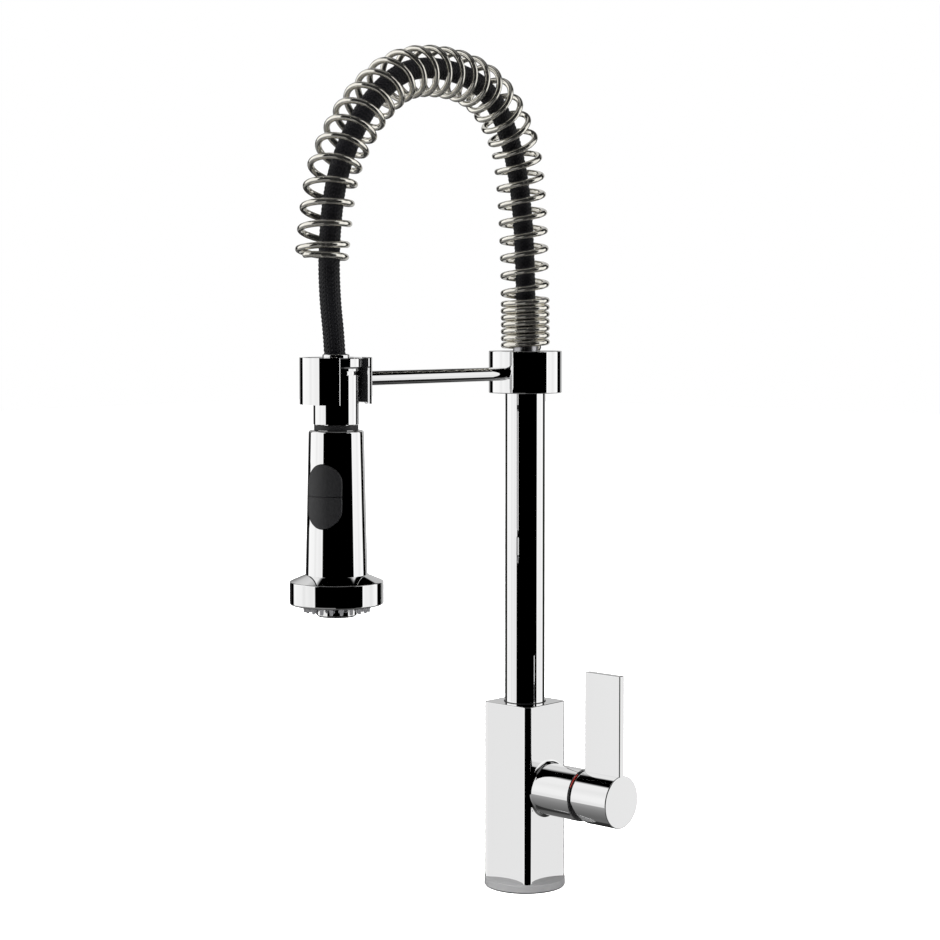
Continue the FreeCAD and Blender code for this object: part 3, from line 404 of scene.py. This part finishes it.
def studio_world():
    """Bright walls and dark openings for the chrome to reflect; the camera sees plain white."""
    world = bpy.data.worlds.new("studio")
    bpy.context.scene.world = world
    world.use_nodes = True
    tree = world.node_tree
    tree.nodes.clear()
    link = tree.links.new
    place = add_node(tree, "ShaderNodeTexCoord")
    turned = add_node(tree, "ShaderNodeVectorRotate", rotation_type="Z_AXIS",
                      Angle=math.radians(90 - VIEW_TURN))
    link(place.outputs["Generated"], turned.inputs["Vector"])
    split = add_node(tree, "ShaderNodeSeparateXYZ")
    link(turned.outputs["Vector"], split.inputs["Vector"])
    azimuth = add_node(tree, "ShaderNodeMath", operation="ARCTAN2")
    link(split.outputs["Y"], azimuth.inputs[0])
    link(split.outputs["X"], azimuth.inputs[1])
    share = add_node(tree, "ShaderNodeMapRange")
    share.inputs["From Min"].default_value = -math.pi
    share.inputs["From Max"].default_value = math.pi
    link(azimuth.outputs["Value"], share.inputs["Value"])
    rise = add_node(tree, "ShaderNodeMath", operation="ARCSINE")
    link(split.outputs["Z"], rise.inputs[0])
    height = add_node(tree, "ShaderNodeMapRange")
    height.inputs["From Min"].default_value = -math.pi / 2
    height.inputs["From Max"].default_value = math.pi / 2
    link(rise.outputs["Value"], height.inputs["Value"])
    turned_by = share.outputs["Result"]
    raised_by = height.outputs["Result"]

    walls = blend_node(tree, "MULTIPLY", None, ramp(tree, turned_by, azimuth_stops(AROUND)),
                       ramp(tree, raised_by, elevation_stops(WALL_GAIN)))
    level = walls
    for sector in SECTORS.values():
        wall = ramp(tree, raised_by, elevation_stops(sector["wall"]))
        rest = ramp(tree, raised_by, elevation_stops(sector["rest"]))
        mask = ramp(tree, turned_by, azimuth_stops(sector["mask"]))
        level = blend_node(tree, "MIX", mask, level, blend_node(tree, "MIX", wall, rest, walls))

    rays = add_node(tree, "ShaderNodeLightPath")
    reflected = background(tree, 1.0, level)
    ambient = background(tree, AMBIENT)
    plain = background(tree, 1.0)
    soft = choose(tree, rays.outputs["Is Diffuse Ray"], reflected, ambient)
    seen = choose(tree, rays.outputs["Is Camera Ray"], soft, plain)
    output = add_node(tree, "ShaderNodeOutputWorld")
    link(seen, output.inputs["Surface"])


def background(tree, strength, colour=None):
    node = add_node(tree, "ShaderNodeBackground", Strength=strength)
    node.inputs["Color"].default_value = (1, 1, 1, 1)
    if colour:
        tree.links.new(colour, node.inputs["Color"])
    return node.outputs["Background"]


def choose(tree, factor, a, b):
    node = add_node(tree, "ShaderNodeMixShader")
    tree.links.new(factor, node.inputs["Fac"])
    tree.links.new(a, node.inputs[1])
    tree.links.new(b, node.inputs[2])
    return node.outputs["Shader"]


def blend_node(tree, way, factor, a, b):
    """Mixes or multiplies two colours; without a factor, fully."""
    node = add_node(tree, "ShaderNodeMix", data_type="RGBA", blend_type=way)
    node.inputs["Factor"].default_value = 1.0
    if factor:
        tree.links.new(factor, node.inputs["Factor"])
    tree.links.new(a, node.inputs["A"])
    tree.links.new(b, node.inputs["B"])
    return node.outputs["Result"]


def azimuth_stops(stops):
    """A ramp's stops from degrees about the vertical."""
    return [((angle + 180) / 360, grey) for angle, grey in stops]


def elevation_stops(stops):
    """A ramp's stops from degrees above the horizon."""
    return [((angle + 90) / 180, grey) for angle, grey in stops]


def soft_light(name, place, size, power, aim):
    """A round area light of a size in metres and a power in watts; it does not show in the chrome."""
    data = bpy.data.lights.new(name, "AREA")
    data.shape = "DISK"
    data.size = size
    data.energy = power
    light = bpy.data.objects.new(name, data)
    light.location = place
    light.rotation_euler = (Vector(aim) - Vector(place)).to_track_quat("-Z", "Y").to_euler()
    light.visible_glossy = False
    bpy.context.scene.collection.objects.link(light)


FLOOR_HALF = 6.0


def floor():
    """A plain white floor that gives its own light, so it is as even as the background and unshaded."""
    material, tree, shader = new_material("floor_white")
    shader.inputs["Roughness"].default_value = 0.8
    shader.inputs["Emission Color"].default_value = (1, 1, 1, 1)
    shader.inputs["Emission Strength"].default_value = 1.0
    noise = add_node(tree, "ShaderNodeTexNoise", Scale=3.0)
    tone = add_node(tree, "ShaderNodeMix", data_type="RGBA")
    tone.inputs["A"].default_value = (0.93, 0.93, 0.93, 1)
    tone.inputs["B"].default_value = (0.96, 0.96, 0.96, 1)
    tree.links.new(noise.outputs["Fac"], tone.inputs["Factor"])
    tree.links.new(tone.outputs["Result"], shader.inputs["Base Color"])
    half = FLOOR_HALF
    corners = [(-half, -half, 0), (half, -half, 0), (half, half, 0), (-half, half, 0)]
    plane = mesh_object("floor", corners, [(0, 1, 2, 3)], material, smooth=False)
    plane.visible_glossy = False


dress_cad_nodes()
coil = build_spring()
bend_with_head(coil)
hose = build_hose()
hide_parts("hose")
bend_with_head(hose)
place_camera()
studio_world()
soft_light("key", (0.6, -1.2, 1.8), 1.6, 60, (0, 0, 0.1))
soft_light("top", (0, 0, 2.2), 2.5, 150, (0, 0, 0))
floor()
bpy.context.scene.view_settings.view_transform = "Standard"
